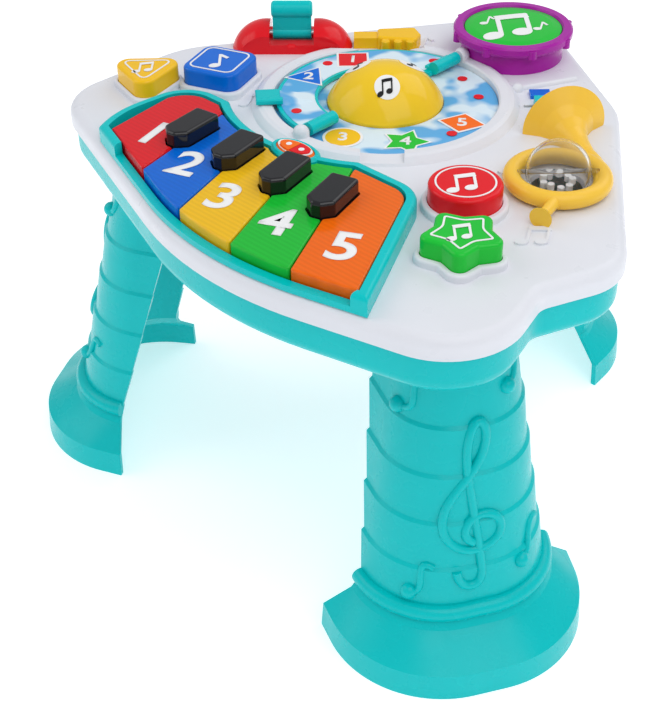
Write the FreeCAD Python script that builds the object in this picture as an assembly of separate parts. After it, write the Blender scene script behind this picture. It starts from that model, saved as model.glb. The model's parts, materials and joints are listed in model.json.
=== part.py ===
import FreeCAD, Part
import math
import os

os.makedirs("parts", exist_ok=True)

V = FreeCAD.Vector

# Stand and housing heights
STAND_Y = -29.79
LEG_ANGLES = {"leg_left": 210.0, "leg_right": 330.0, "leg_back": 90.0}
LEG_TOP = 260.0
TUB_FLOOR = 260.0
TUB_TOP = 286.0
DECK_Z = 300.0
WALL = 2.6
GAP = 0.4

# Leg shell: open-edge reach, half width and front reach at the ankle and the floor; the front
# reach at the top follows the table's edge above each leg
TOP_OPEN = 124.0
TOP_HALF = 36.0
TOP_REACH = {"leg_left": 185.0, "leg_right": 197.0, "leg_back": 179.0}
ANKLE_SEC = (186.0, 65.0, 236.0)
ANKLE_Z = 46.0
FOOT_SEC = (181.0, 92.0, 270.0)
LIP_H = 20.0
BANDS = 5
BAND_STEP = 1.6
LEG_WALL = 3.0
TAB_W = 13.0
TAB_Z = 236.0
LATCH_R = 5.0
LATCH_Z = 246.0

# Centre disc, page and dome
DISC = (5.5, 4.7)
PRINT_R = 76.5
RING_IN = 76.0
RING_OUT = 87.0
PAGE_IN = 46.0
PAGE_OUT = 74.0
PAGE_T = 3.0
HINGE_Z = 307.0
PIN_R = 2.0
DOME_R = 39.5
DOME_H = 25.0

# Keyboard
KB_CLEAR_R = 106.0
RIM_W = 6.5
FRONT_RIM = 8.5
RIM_TOP = 312.0
KEY_TOP = 311.0
KEY_LOW = 294.0
KEY_SPLITS = ((-84.0, 8.0), (-33.0, 13.0), (12.0, 18.0), (56.0, 22.0), (98.0, 26.0), (150.0, 28.0))
SPLIT_Y = -155.0
KEY_GAP = 0.8
ROD_Y = -119.0
ROD_Z = 297.0
ROD_R = 1.5
BLACK_W = 19.0
BLACK_L = 37.0
BLACK_TOP = 321.0

# Buttons: place, height above the deck and travel
TRI = (-127.0, -94.0)
SQUARE = (-98.0, -52.0)
ROUND = (134.0, -66.0)
STAR = (168.0, -110.0)
PAD_H = 5.0
CAP_TOP = 317.0
TRAVEL = 3.0

# Drum, guitar, horn and sliders
DRUM = (20.0, 124.0)
DRUM_R = 42.5
HEAD_R = 34.5
DRUM_TOP = 322.0
DRUM_SIDE = 36.5
GUITAR = (-106.0, 26.0)
GUITAR_DEG = 43.0
BELL = (118.0, 54.0)
BELL_R = 28.0
BALL = (159.0, -8.0)
BALL_R = 20.0
BALL_Z = 310.0
SLIDER = (88.0, 72.0)
BADGE = (77.0, 83.0)


def at(x, y, z=0.0):
    return V(x, y, z)


def cyl(x, y, z0, z1, r):
    return Part.makeCylinder(r, z1 - z0, at(x, y, z0))


def cyl_dir(p, d, length, r):
    return Part.makeCylinder(r, length, p, d)


def box(x0, x1, y0, y1, z0, z1):
    return Part.makeBox(x1 - x0, y1 - y0, z1 - z0, at(x0, y0, z0))


def ring(x, y, z0, z1, r_out, r_in):
    return cyl(x, y, z0, z1, r_out).cut(cyl(x, y, z0 - 1, z1 + 1, r_in))


def polygon(points):
    verts = [at(x, y) for x, y in points]
    return Part.Face(Part.makePolygon(verts + [verts[0]]))


def rounded_wire(corners, z=0.0, closed=True):
    """Straight runs joined by tangent arcs; each corner is (x, y, radius)."""
    count = len(corners)
    ends = []
    for i, (x, y, r) in enumerate(corners):
        here = at(x, y, z)
        if not closed and i in (0, count - 1):
            ends.append((here, None, here))
            continue
        prev = at(*corners[i - 1][:2], z)
        after = at(*corners[(i + 1) % count][:2], z)
        a = (prev - here).normalize()
        b = (after - here).normalize()
        half = a.getAngle(b) / 2
        bisector = (a + b).normalize()
        reach = r / math.tan(half)
        mid = here + bisector * (r / math.sin(half) - r)
        ends.append((here + a * reach, mid, here + b * reach))
    edges = []
    for i, (start, mid, stop) in enumerate(ends):
        if mid is not None:
            edges.append(Part.Arc(start, mid, stop).toShape())
        if closed or i < count - 1:
            edges.append(Part.makeLine(stop, ends[(i + 1) % count][0]))
    return Part.Wire(edges)


def rounded_face(corners):
    return Part.Face(rounded_wire(corners))


def rounded_polygon(points, r):
    """A flat face whose corners are all rounded to r."""
    return rounded_face([(x, y, r) for x, y in points])


def grow(face, d):
    """The face moved outwards by d, or inwards where d is negative."""
    return face.makeOffset2D(d).Faces[0]


def prism(face, z0, z1):
    body = face.copy()
    body.translate(at(0, 0, z0))
    return body.extrude(at(0, 0, z1 - z0))


def edges_at(shape, z, tol=0.01):
    found = []
    for e in shape.Edges:
        box_e = e.BoundBox
        if abs(box_e.ZMin - z) < tol and abs(box_e.ZMax - z) < tol:
            found.append(e)
    return found


def soften(shape, z, r):
    """Round the edges that lie at height z."""
    return shape.makeFillet(r, edges_at(shape, z))


def spun(profile, x, y, turn=360.0):
    """Revolve a (radius, height) outline about a vertical line through x, y."""
    pts = [V(r, 0, z) for r, z in profile]
    face = Part.Face(Part.makePolygon(pts + [pts[0]]))
    body = face.revolve(V(0, 0, 0), V(0, 0, 1), turn)
    body.translate(at(x, y))
    return body


def turned(shape, deg, x=0.0, y=0.0):
    out = shape.copy()
    out.rotate(at(x, y), V(0, 0, 1), deg)
    return out


nodes = {}


# Outline of the table top, seen from above
OUTLINE = [(-168, -140, 42), (60, -221, 240), (241, -175, 48), (221, -104, 14), (242, -52, 40),
           (128, 104, 60), (-10, 200, 32), (-167, -30, 70)]
top_face = rounded_face(OUTLINE)
tub_face = grow(top_face, -3.0)


# Keyboard outline: a rounded field, hollowed by the disc's ring and trimmed to the front edge
field = rounded_face([(-96, -82, 28), (-101, -146, 70), (-48, -240, 5), (196, -240, 5), (116, -84, 26)])
ring_clear = Part.Face(Part.Wire(Part.makeCircle(KB_CLEAR_R, at(*DISC))))
whole = field.cut(ring_clear).Faces[0]
whole = grow(grow(whole, -4.0), 4.0)
frame_face = whole.common(grow(top_face, -3.0)).Faces[0]
bed_face = grow(whole, -RIM_W).common(grow(top_face, -FRONT_RIM)).Faces[0]
well_face = grow(bed_face, 2.3)


SCREWS = [(-148.0, -56.0), (-60.0, 84.0), (66.0, 118.0), (186.0, -34.0), (196.0, -146.0), (-118.0, -136.0)]

# White table top
deck = soften(prism(top_face, TUB_TOP, DECK_Z), DECK_Z, 7.0)
deck = deck.cut(prism(grow(top_face, -WALL), TUB_TOP - 1, DECK_Z - WALL))
ring_profile = [(RING_IN, DECK_Z - 1), (RING_OUT + 5, DECK_Z - 1), (RING_OUT + 3, DECK_Z + 1.5),
                (RING_OUT, DECK_Z + 4.5), (RING_OUT - 3, DECK_Z + 5.5), (RING_IN + 2, DECK_Z + 5),
                (RING_IN, DECK_Z + 3)]
deck = deck.fuse(spun(ring_profile, *DISC))


def triangle_face(r, corner):
    pts = []
    for a in (75, 195, 315):
        t = math.radians(a)
        pts.append((TRI[0] + r * math.cos(t), TRI[1] + r * math.sin(t)))
    return rounded_polygon(pts, corner)


def square_face(half, corner):
    x, y = SQUARE
    pts = [(x - half, y - half), (x + half, y - half), (x + half, y + half), (x - half, y + half)]
    return turned(rounded_polygon(pts, corner), 20, x, y)


def round_face(r):
    return Part.Face(Part.Wire(Part.makeCircle(r, at(*ROUND))))


def star_face(r, corner):
    pts = []
    for i in range(10):
        t = math.radians(18 + 36 * i)
        reach = r if i % 2 == 0 else 0.64 * r
        pts.append((STAR[0] + reach * math.cos(t), STAR[1] + reach * math.sin(t)))
    return grow(grow(polygon(pts), -1.5), 1.5 + corner)


CAPS = {"button_triangle": (triangle_face(32.0, 9.0), triangle_face(36.0, 10.0)),
        "button_square": (square_face(21.0, 9.0), square_face(24.0, 10.0)),
        "button_round": (round_face(22.5), round_face(26.5)),
        "button_star": (star_face(21.0, 4.0), star_face(21.0, 7.5))}
HUBS = {"button_triangle": TRI, "button_square": SQUARE, "button_round": ROUND, "button_star": STAR}

for name, (cap_face, pad_face) in CAPS.items():
    pad = soften(prism(pad_face, DECK_Z - 1, DECK_Z + PAD_H), DECK_Z + PAD_H, 2.0)
    deck = deck.fuse(pad)
for name, (cap_face, pad_face) in CAPS.items():
    deck = deck.cut(prism(grow(cap_face, GAP), DECK_Z - 10, DECK_Z + 20))

# Hinge knuckles for the page, standing on the ring
KNOB_R = 5.5
KNOB_OUT = 80.5
for side in (-1, 1):
    y = DISC[1] + side * KNOB_OUT
    knob = Part.makeSphere(KNOB_R, at(DISC[0], y, HINGE_Z))
    knob = knob.fuse(cyl(DISC[0], y, DECK_Z, HINGE_Z, KNOB_R))
    seat = cyl_dir(at(DISC[0], DISC[1] + side * 74.5, HINGE_Z), V(0, side, 0), 8.5, PIN_R)
    deck = deck.fuse(knob).cut(seat)

for x, y in SCREWS:
    post = cyl(x, y, TUB_TOP - 5.8, DECK_Z - 1, 4.5).cut(cyl(x, y, TUB_TOP - 7, TUB_TOP + 1, 1.6))
    deck = deck.fuse(post)

# Finger notch in the ring, mirror of the page's tab
notch = turned(box(DISC[0] + 70, DISC[0] + 96, DISC[1] - 14, DISC[1] + 14, DECK_Z + 1.6, DECK_Z + 9),
               -49, *DISC)
deck = deck.cut(notch)
deck = deck.cut(cyl(*DISC, DECK_Z - 1.5, DECK_Z + 14, PRINT_R + GAP))
deck = deck.cut(cyl(*DISC, DECK_Z - 9, DECK_Z + 1, DOME_R - 3))
deck = deck.cut(prism(well_face, DECK_Z - 10, DECK_Z + 2))
deck = deck.cut(cyl(*DRUM, DECK_Z - 9, DECK_Z + 2, 24.0))
deck = deck.cut(cyl(*DRUM, DECK_Z, DECK_Z + 20, DRUM_SIDE + 0.3))
deck = deck.cut(Part.makeSphere(BALL_R + 1.2, at(*BALL, BALL_Z)))

# Embossed drumstick beside the drum
stick_a = at(60, 80, DECK_Z)
stick_b = at(80, 120, DECK_Z)
stick = cyl_dir(stick_a, stick_b - stick_a, (stick_b - stick_a).Length, 2.6)
stick = stick.fuse(Part.makeSphere(4.6, stick_a))
stick = stick.common(box(30, 110, 50, 140, DECK_Z - 1, DECK_Z + 6))
deck = deck.fuse(stick)

# Slots for the volume knob and the language knob
slot_len = 13.0
slider_slot = turned(box(-slot_len, slot_len, -1.6, 1.6, DECK_Z - 6, DECK_Z + 3), 44)
slider_slot.translate(at(*SLIDER))
deck = deck.cut(slider_slot)


def guitar_place(shape):
    """From the guitar's own frame, neck along +X, to its place on the table."""
    out = shape.copy()
    out.rotate(at(0, 0), V(0, 0, 1), GUITAR_DEG)
    out.translate(at(*GUITAR))
    return out


deck = deck.cut(guitar_place(box(-46, 46, -17, 20, DECK_Z, DECK_Z + 20)))
deck = deck.cut(guitar_place(box(43, 96, -17, 20, DECK_Z, DECK_Z + 20)))
nodes["deck_top"] = deck.removeSplitter()


# Teal tub below the white top
tub = soften(prism(tub_face, TUB_FLOOR, TUB_TOP), TUB_FLOOR, 9.0)
tub = tub.cut(prism(grow(tub_face, -WALL), TUB_FLOOR + WALL, TUB_TOP + 1))
lip = prism(grow(top_face, -WALL - GAP), TUB_TOP - 4, TUB_TOP + 4)
lip = lip.cut(prism(grow(top_face, -2 * WALL - GAP), TUB_TOP - 5, TUB_TOP + 5))
tub = tub.fuse(lip)

BAY = (-44.0, 20.0, 36.0, 84.0)
SPEAKER = (70.0, 30.0)
tub = tub.cut(box(BAY[0], BAY[1], BAY[2], BAY[3], TUB_FLOOR - 1, TUB_FLOOR + 3))
bay = box(BAY[0] - 2, BAY[1] + 2, BAY[2] - 2, BAY[3] + 2, TUB_FLOOR + 1, TUB_FLOOR + 20)
bay = bay.cut(box(BAY[0], BAY[1], BAY[2], BAY[3], TUB_FLOOR, TUB_FLOOR + 18))
tub = tub.fuse(bay)
for row in range(-3, 4):
    half = math.sqrt(26.0 ** 2 - (7.0 * row) ** 2)
    tub = tub.cut(box(SPEAKER[0] + 7.0 * row - 1.5, SPEAKER[0] + 7.0 * row + 1.5,
                      SPEAKER[1] - half + 6, SPEAKER[1] + half - 6, TUB_FLOOR - 1, TUB_FLOOR + 4))

for x, y in SCREWS:
    tub = tub.fuse(cyl(x, y, TUB_FLOOR + 1, TUB_TOP - 6, 4.5))
for x, y in SCREWS:
    tub = tub.cut(cyl(x, y, TUB_FLOOR - 1, TUB_FLOOR + 3, 3.6))
    tub = tub.cut(cyl(x, y, TUB_FLOOR, TUB_TOP, 1.7))


def tongue(reach, clear):
    """The plug on a leg's head, widened by clear for its socket."""
    return box(reach - 39 - clear, reach - 13 + clear, -12 - clear, 12 + clear,
               LEG_TOP - 2.5, LEG_TOP + 14 + clear)


def latch_tab(grow):
    """Rounded tab that hangs from the tub in a pocket of the leg's front."""
    reach = 260.0
    low = TAB_Z + TAB_W
    plate = box(140, reach, -TAB_W - grow, TAB_W + grow, low, LEG_TOP)
    end = cyl_dir(V(140, 0, low), V(1, 0, 0), reach - 140, TAB_W + grow)
    return plate.fuse(end)


def section(reach_open, half, reach_front, z, inset=0.0, back=0.0):
    """U-shaped outline of a leg at height z, open towards the table's middle."""
    w = half - inset
    front = reach_front - inset
    corner = 0.86 * w
    rear = reach_open - back
    return rounded_wire([(rear, -w, 0.5), (front, -0.9 * w, corner), (front, 0.9 * w, corner), (rear, w, 0.5)], z)


def blend(a, b, t):
    return tuple(p + (q - p) * t for p, q in zip(a, b))


def grown(sec, d):
    return (sec[0], sec[1] + d, sec[2] + d)


def shaft(reach, z):
    """Size of the plain shaft at height z, for a leg whose head reaches out to reach."""
    return blend((TOP_OPEN, TOP_HALF, reach), ANKLE_SEC, (LEG_TOP - z) / (LEG_TOP - ANKLE_Z))


FOOT_TOP = (FOOT_SEC[0], FOOT_SEC[1] - 1.5, FOOT_SEC[2] - 1.5)
FOOT_RUN = [(ANKLE_SEC, ANKLE_Z), (grown(ANKLE_SEC, 7.0), ANKLE_Z - 10), (FOOT_TOP, LIP_H)]


def leg_solid(reach, inset, back, z_top, banded):
    """Shaft, ankle and flared foot in one run of sections."""
    rows = [(shaft(reach, z_top), z_top)]
    if banded:
        for i in range(1, BANDS):
            z = LEG_TOP - (LEG_TOP - ANKLE_Z) * (0.20 + 0.16 * i)
            rows.append((grown(shaft(reach, z), -0.4), z))
            rows.append((grown(shaft(reach, z), BAND_STEP), z - 2.0))
    rows += FOOT_RUN
    rows.append((FOOT_SEC, -1.0 if inset > 0 else 0.0))
    return Part.makeLoft([section(*sec, z, inset, back) for sec, z in rows], True, True)


def bead_row(z, d):
    """Open line round the ankle, d outside the shaft."""
    w = ANKLE_SEC[1] + d
    front = ANKLE_SEC[2] + d
    corner = 0.86 * w
    return rounded_wire([(ANKLE_SEC[0], -w, 0), (front, -0.9 * w, corner), (front, 0.9 * w, corner),
                         (ANKLE_SEC[0], w, 0)], z, False)


def build_leg(reach):
    """One half-shell leg: banded shaft, ankle bead, two stiffening webs and the plug on top."""
    hollow = leg_solid(reach, LEG_WALL, 12.0, LEG_TOP - LEG_WALL, False)
    leg = leg_solid(reach, 0.0, 0.0, LEG_TOP, True).cut(hollow)
    path = bead_row(ANKLE_Z, 0.5)
    start = path.Vertexes[0].Point
    bead_end = Part.Wire(Part.makeCircle(6.0, start, path.Edges[0].tangentAt(0)))
    bead = path.makePipeShell([bead_end], True, True)
    extras = [bead.cut(hollow)]
    for z in (150.0, 84.0):
        sec = shaft(reach, z)
        rib = Part.Face(section(*sec, z, LEG_WALL - 0.5)).extrude(V(0, 0, 2.0))
        extras.append(rib.cut(box(0, sec[2] - 16, -100, 100, z - 1, z + 3)))
    plug = tongue(reach, 0.0)
    extras.append(plug.cut(box(reach - 36.6, reach - 15.4, -9.6, 9.6, LEG_TOP - 5, LEG_TOP + 12)))
    leg = leg.multiFuse(extras)
    pocket = latch_tab(GAP).common(box(reach - 9, 300, -20, 20, TAB_Z - 5, LEG_TOP + 1))
    return leg.cut(pocket).removeSplitter()


for name, angle in LEG_ANGLES.items():
    nodes[name] = turned(build_leg(TOP_REACH[name]), angle)

pocket = latch_tab(0.0)
ALONG = V(1, 0, 0)
for name, angle in LEG_ANGLES.items():
    reach = TOP_REACH[name]
    front = shaft(reach, LATCH_Z)[2]
    tub = tub.cut(turned(tongue(reach, GAP), angle))
    tab = pocket.common(box(front - 4.0, front + 0.5, -20, 20, TAB_Z - 2, LEG_TOP))
    neck = box(front - 12.0, front - 3.6, -TAB_W + 1, TAB_W - 1, LEG_TOP + 0.02, LEG_TOP + 3)
    hanger = box(front - 4.0, front - 1.0, -TAB_W + 1, TAB_W - 1, LEG_TOP - 4, LEG_TOP + 3)
    tab = tab.fuse(neck).fuse(hanger)
    tab = tab.cut(cyl_dir(V(150, 0, LATCH_Z), ALONG, 100, LATCH_R + 0.3))
    tub = tub.fuse(turned(tab, angle))
    knob = cyl_dir(V(front - 9, 0, LATCH_Z), ALONG, 12.5, LATCH_R)
    knob = knob.makeFillet(1.6, [knob.Edges[0]])
    knob = knob.fuse(cyl_dir(V(front - 9, 0, LATCH_Z), ALONG, 2.0, LATCH_R + 2))
    knob = knob.cut(cyl_dir(V(front - 10, 0, LATCH_Z), ALONG, 10.4, 3.5))
    nodes["latch_" + name[4:]] = turned(knob, angle)
    spring = cyl_dir(V(front - 17, 0, LATCH_Z), ALONG, 14.0, 3.2)
    spring = spring.cut(cyl_dir(V(front - 18, 0, LATCH_Z), ALONG, 16, 2.2))
    nodes["latch_spring_" + name[4:]] = turned(spring, angle)
nodes["base_tub"] = tub.removeSplitter()

door = box(BAY[0] + GAP, BAY[1] - GAP, BAY[2] + GAP, BAY[3] - GAP, TUB_FLOOR, TUB_FLOOR + 2)
for i in range(5):
    groove = BAY[0] + 8 + 12 * i
    door = door.cut(box(groove, groove + 2, BAY[2] + 6, BAY[3] - 18, TUB_FLOOR - 1, TUB_FLOOR + 0.8))
door = door.cut(cyl(BAY[0] + 32, BAY[3] - 8, TUB_FLOOR - 1, TUB_FLOOR + 3, 1.7))
nodes["battery_door"] = door


def screw(x, y, z, length):
    """A cross-headed screw, head down."""
    head = cyl(x, y, z, z + 2.0, 3.2)
    cross = box(x - 2.2, x + 2.2, y - 0.5, y + 0.5, z - 0.1, z + 1.1)
    cross = cross.fuse(box(x - 0.5, x + 0.5, y - 2.2, y + 2.2, z - 0.1, z + 1.1))
    return head.fuse(cyl(x, y, z + 1, z + length, 1.6)).cut(cross)


nodes["door_screw"] = screw(BAY[0] + 32, BAY[3] - 8, TUB_FLOOR - 2, 4.4)
nodes["housing_screws"] = Part.makeCompound([screw(x, y, TUB_FLOOR + 1, 24) for x, y in SCREWS])

cells = []
contacts = []
for i in range(3):
    x = BAY[0] + 13 + 16.5 * i
    cells.append(cyl_dir(at(x, BAY[2] + 2, TUB_FLOOR + 10.2), V(0, 1, 0), 42, 7.0))
    cells[-1] = cells[-1].fuse(cyl_dir(at(x, BAY[2] + 44, TUB_FLOOR + 10.2), V(0, 1, 0), 1.0, 2.6))
    contacts.append(box(x - 5, x + 5, BAY[2] + 0.2, BAY[2] + 0.8, TUB_FLOOR + 4, TUB_FLOOR + 16))
    contacts.append(box(x - 5, x + 5, BAY[3] - 2.6, BAY[3] - 2.0, TUB_FLOOR + 4, TUB_FLOOR + 16))
nodes["batteries"] = Part.makeCompound(cells)
nodes["battery_contacts"] = Part.makeCompound(contacts)

cone = [(4.0, TUB_FLOOR + 8), (22.0, TUB_FLOOR + 4), (25.0, TUB_FLOOR + 4), (25.0, TUB_FLOOR + 6),
        (22.0, TUB_FLOOR + 7), (12.0, TUB_FLOOR + 12), (12.0, TUB_FLOOR + 18), (0.0, TUB_FLOOR + 18),
        (0.0, TUB_FLOOR + 9)]
nodes["speaker"] = spun(cone, *SPEAKER)

board = box(-60, 40, -70, 0, TUB_FLOOR + 9, TUB_FLOOR + 10.6)
chip = box(-20, -4, -44, -28, TUB_FLOOR + 10.6, TUB_FLOOR + 12.6)
for x, y in ((-55, -65), (35, -65), (-55, -5), (35, -5)):
    nodes["base_tub"] = nodes["base_tub"].fuse(cyl(x, y, TUB_FLOOR + 1, TUB_FLOOR + 9, 3.0))
    board = board.fuse(cyl(x, y, TUB_FLOOR + 10, TUB_FLOOR + 12, 2.2))
nodes["circuit_board"] = board.fuse(chip)


# Printed base disc, dome and flipping page
nodes["base_print"] = ring(*DISC, DECK_Z - 1.5, DECK_Z + 0.3, PRINT_R, DOME_R + 0.5)
dome_ball = (DOME_R ** 2 + DOME_H ** 2) / (2 * DOME_H)
dome_z = DECK_Z + 2
dome = Part.makeSphere(dome_ball, at(*DISC, dome_z + DOME_H - dome_ball))
dome = dome.common(cyl(*DISC, dome_z, dome_z + 60, DOME_R + 1))
dome = dome.fuse(cyl(*DISC, DECK_Z - 0.5, dome_z, DOME_R))
inner = Part.makeSphere(dome_ball - 2, at(*DISC, dome_z + DOME_H - dome_ball))
inner = inner.common(cyl(*DISC, DECK_Z - 1, dome_z + 60, DOME_R - 4))
dome = dome.cut(inner)
nodes["light_dome"] = dome.cut(cyl(*DISC, DECK_Z - 2, dome_z, DOME_R - 4)).removeSplitter()

page_z = DECK_Z + 1.6
page = ring(*DISC, page_z, page_z + PAGE_T, PAGE_OUT, PAGE_IN)
page = page.common(box(DISC[0] - 90, DISC[0] - 1.0, -120, 120, 0, 400))
tab = turned(box(DISC[0] - 88, DISC[0] - 70, DISC[1] - 9, DISC[1] + 9, DECK_Z + 6.2, DECK_Z + 9.2), 49, *DISC)
tab_stem = turned(box(DISC[0] - 74, DISC[0] - 70, DISC[1] - 8, DISC[1] + 8, page_z + 1, DECK_Z + 9.2), 49, *DISC)
page = page.fuse(soften(tab, DECK_Z + 9.2, 1.2)).fuse(tab_stem)
for side in (-1, 1):
    y0 = DISC[1] + side * 50
    y1 = DISC[1] + side * 74
    barrel = cyl_dir(at(DISC[0], y0, HINGE_Z), V(0, side, 0), 24, 4.4)
    web = box(DISC[0] - 8, DISC[0] - 1.0, min(y0, y1), max(y0, y1), page_z, HINGE_Z)
    page = page.fuse(barrel).fuse(web.cut(barrel))
for side in (-1, 1):
    page = page.cut(cyl_dir(at(DISC[0], DISC[1] + side * 58, HINGE_Z), V(0, side, 0), 40, PIN_R + 0.05))
nodes["flip_page"] = page.removeSplitter()
for side, word in ((-1, "front"), (1, "back")):
    nodes["page_pin_" + word] = cyl_dir(at(DISC[0], DISC[1] + side * 60, HINGE_Z), V(0, side, 0), 23, PIN_R)


# Keyboard frame with its tray
rim = prism(frame_face, DECK_Z + 0.02, RIM_TOP)
rim = soften(rim, RIM_TOP, 3.0)
rim = rim.cut(prism(bed_face, DECK_Z - 1, RIM_TOP + 1))
front_strip = frame_face.cut(grow(top_face, -FRONT_RIM))
rim = rim.cut(prism(front_strip, RIM_TOP - 8.0, RIM_TOP + 5).common(box(-62, 160, -240, -150, 0, 400)))
tray = prism(grow(bed_face, 1.9), DECK_Z - 15, DECK_Z + 0.5)
tray = tray.cut(prism(bed_face, DECK_Z - 13, DECK_Z + 1))
frame = rim.fuse(tray)


def split_at(index, y):
    """Where the line between two keys, or an end line, stands at depth y."""
    x, lean = KEY_SPLITS[index]
    return x + (SPLIT_Y - y) * math.tan(math.radians(lean))


def ear(x, clear):
    """Upright that carries the key rod, widened by clear."""
    return box(x - 1.4 - clear, x + 1.4 + clear, ROD_Y - 4 - clear, ROD_Y + 4 + clear, DECK_Z - 14, ROD_Z + 3 + clear)


EARS = [split_at(i, ROD_Y) for i in range(1, 5)]
ROD_X0 = EARS[0] - 52.0
ROD_X1 = EARS[-1] + 34.0
EARS += [ROD_X0 + 3.0, ROD_X1 - 3.0]
for x in EARS:
    frame = frame.fuse(ear(x, 0.0))
frame = frame.cut(cyl_dir(at(ROD_X0 - 1, ROD_Y, ROD_Z), V(1, 0, 0), ROD_X1 - ROD_X0 + 2, ROD_R))
nodes["key_rod"] = cyl_dir(at(ROD_X0, ROD_Y, ROD_Z), V(1, 0, 0), ROD_X1 - ROD_X0, ROD_R)
MODE = (26.0, -101.0)


def oval(rx, ry):
    """Flat oval at the mode button's place."""
    return Part.Face(Part.Wire(Part.Ellipse(at(*MODE), rx, ry).toShape()))


collar = prism(oval(19.0, 11.5), DECK_Z + 0.02, RIM_TOP + 1)
collar = collar.makeChamfer(1.6, edges_at(collar, RIM_TOP + 1))
frame = frame.fuse(collar).cut(prism(oval(15.3, 8.3), DECK_Z - 1, RIM_TOP + 3))


def black_place(x):
    """Back end of a black key, a fixed way out from the disc's ring."""
    reach = KB_CLEAR_R + 10.0
    return DISC[1] - math.sqrt(reach ** 2 - (x - DISC[0]) ** 2)


key_face = grow(bed_face, -1.1)
blacks = []
stems = []
for i in range(1, 5):
    lean = KEY_SPLITS[i][1]
    x = split_at(i, -120.0)
    back = min(black_place(x), -113.0)
    w = BLACK_W / 2
    front = back - BLACK_L
    foot = [(x - w, back), (x + w, back), (x + w, front + 6), (x + 3, front), (x - 3, front), (x - w, front + 6)]
    outline = turned(rounded_polygon(foot, 2.5), lean * 0.6, x, back)
    cap = soften(prism(outline, KEY_TOP - 2.0, BLACK_TOP), BLACK_TOP, 2.2)
    stem = turned(box(x - 4, x + 4, front + 10, back - 14, DECK_Z - 12.98, KEY_TOP - 1), lean * 0.6, x, back)
    blacks.append(cap.fuse(stem).removeSplitter())
    stems.append(prism(grow(outline, 1.0), KEY_LOW - 5, KEY_TOP + 2))
nodes["black_keys"] = Part.makeCompound(blacks)
nodes["keyboard_frame"] = frame.removeSplitter()

NOSE_R = 1.3
for i in range(5):
    half_gap = KEY_GAP / 2
    strip = polygon([(split_at(i, -240) + half_gap, -240), (split_at(i + 1, -240) - half_gap, -240),
                     (split_at(i + 1, -60) - half_gap, -60), (split_at(i, -60) + half_gap, -60)])
    plan = key_face.common(strip).Faces[0]
    plan = grow(grow(plan, -1.5), 1.5)
    key = prism(plan, KEY_LOW + 3, KEY_TOP)
    key = soften(key, KEY_TOP, NOSE_R)
    inside = prism(grow(plan, -2.0), KEY_LOW, KEY_TOP - 2.0)
    inside = inside.cut(prism(oval(22.5, 15.0), KEY_LOW, KEY_TOP))
    key = key.cut(prism(oval(20.5, 13.0), KEY_LOW, KEY_TOP + 1))
    mid = (split_at(i, ROD_Y) + split_at(i + 1, ROD_Y)) / 2
    for j in range(5):
        x = mid + 8 + 7 * (j - 2)
        inside = inside.cut(box(x - 0.6, x + 0.6, -186, -136, KEY_TOP - 5, KEY_TOP))
    key = key.cut(inside)
    for x in (mid - 7, mid + 7):
        key = key.fuse(box(x - 2, x + 2, ROD_Y - 3.2, ROD_Y + 3.2, ROD_Z - 3.2, KEY_TOP - 1))
    key = key.cut(cyl_dir(at(ROD_X0 - 5, ROD_Y, ROD_Z), V(1, 0, 0), ROD_X1 - ROD_X0 + 10, ROD_R + 0.05))
    for stem in stems:
        key = key.cut(stem)
    for x in EARS:
        key = key.cut(ear(x, 0.8))
    solids = sorted(key.Solids, key=lambda s: s.Volume)
    nodes["key_%d" % (i + 1)] = solids[-1]


# Mode button: oval cap in the collar on the bridge between ring and keys
mode_cap = prism(oval(15.0, 8.0), DECK_Z + 2, DECK_Z + 14)
nodes["mode_button"] = mode_cap.makeChamfer(1.4, edges_at(mode_cap, DECK_Z + 14))

# Instrument button caps: hollow, with a skirt below the deck that keeps them in
for name, (cap_face, pad_face) in CAPS.items():
    cap = soften(prism(cap_face, DECK_Z - 4, CAP_TOP), CAP_TOP, 2.4)
    skirt = prism(grow(cap_face, 2.0), DECK_Z - 6.5, DECK_Z - 4)
    cap = cap.fuse(skirt)
    cap = cap.cut(prism(grow(cap_face, -2.2), DECK_Z - 7, CAP_TOP - 2.4))
    x, y = HUBS[name]
    cap = cap.fuse(cyl(x, y, DECK_Z - 6.5, CAP_TOP - 1, 4.0))
    nodes[name] = cap
plungers = []
for name, (x, y) in HUBS.items():
    pad = spun([(2.0, DECK_Z - 16), (7.0, DECK_Z - 16), (7.0, DECK_Z - 14), (4.0, DECK_Z - 9.6),
                (0.0, DECK_Z - 9.6), (0.0, DECK_Z - 11.5), (2.0, DECK_Z - 11.5)], x, y)
    plungers.append(pad)
nodes["switch_pads"] = Part.makeCompound(plungers)
boards = []
for name, (x, y) in HUBS.items():
    plate = cyl(x, y, DECK_Z - 18, DECK_Z - 16, 10.0)
    boards.append(plate)
nodes["switch_boards"] = Part.makeCompound(boards)
for name, (x, y) in HUBS.items():
    nodes["base_tub"] = nodes["base_tub"].fuse(cyl(x, y, TUB_FLOOR + 1, DECK_Z - 18, 4.0))


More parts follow.
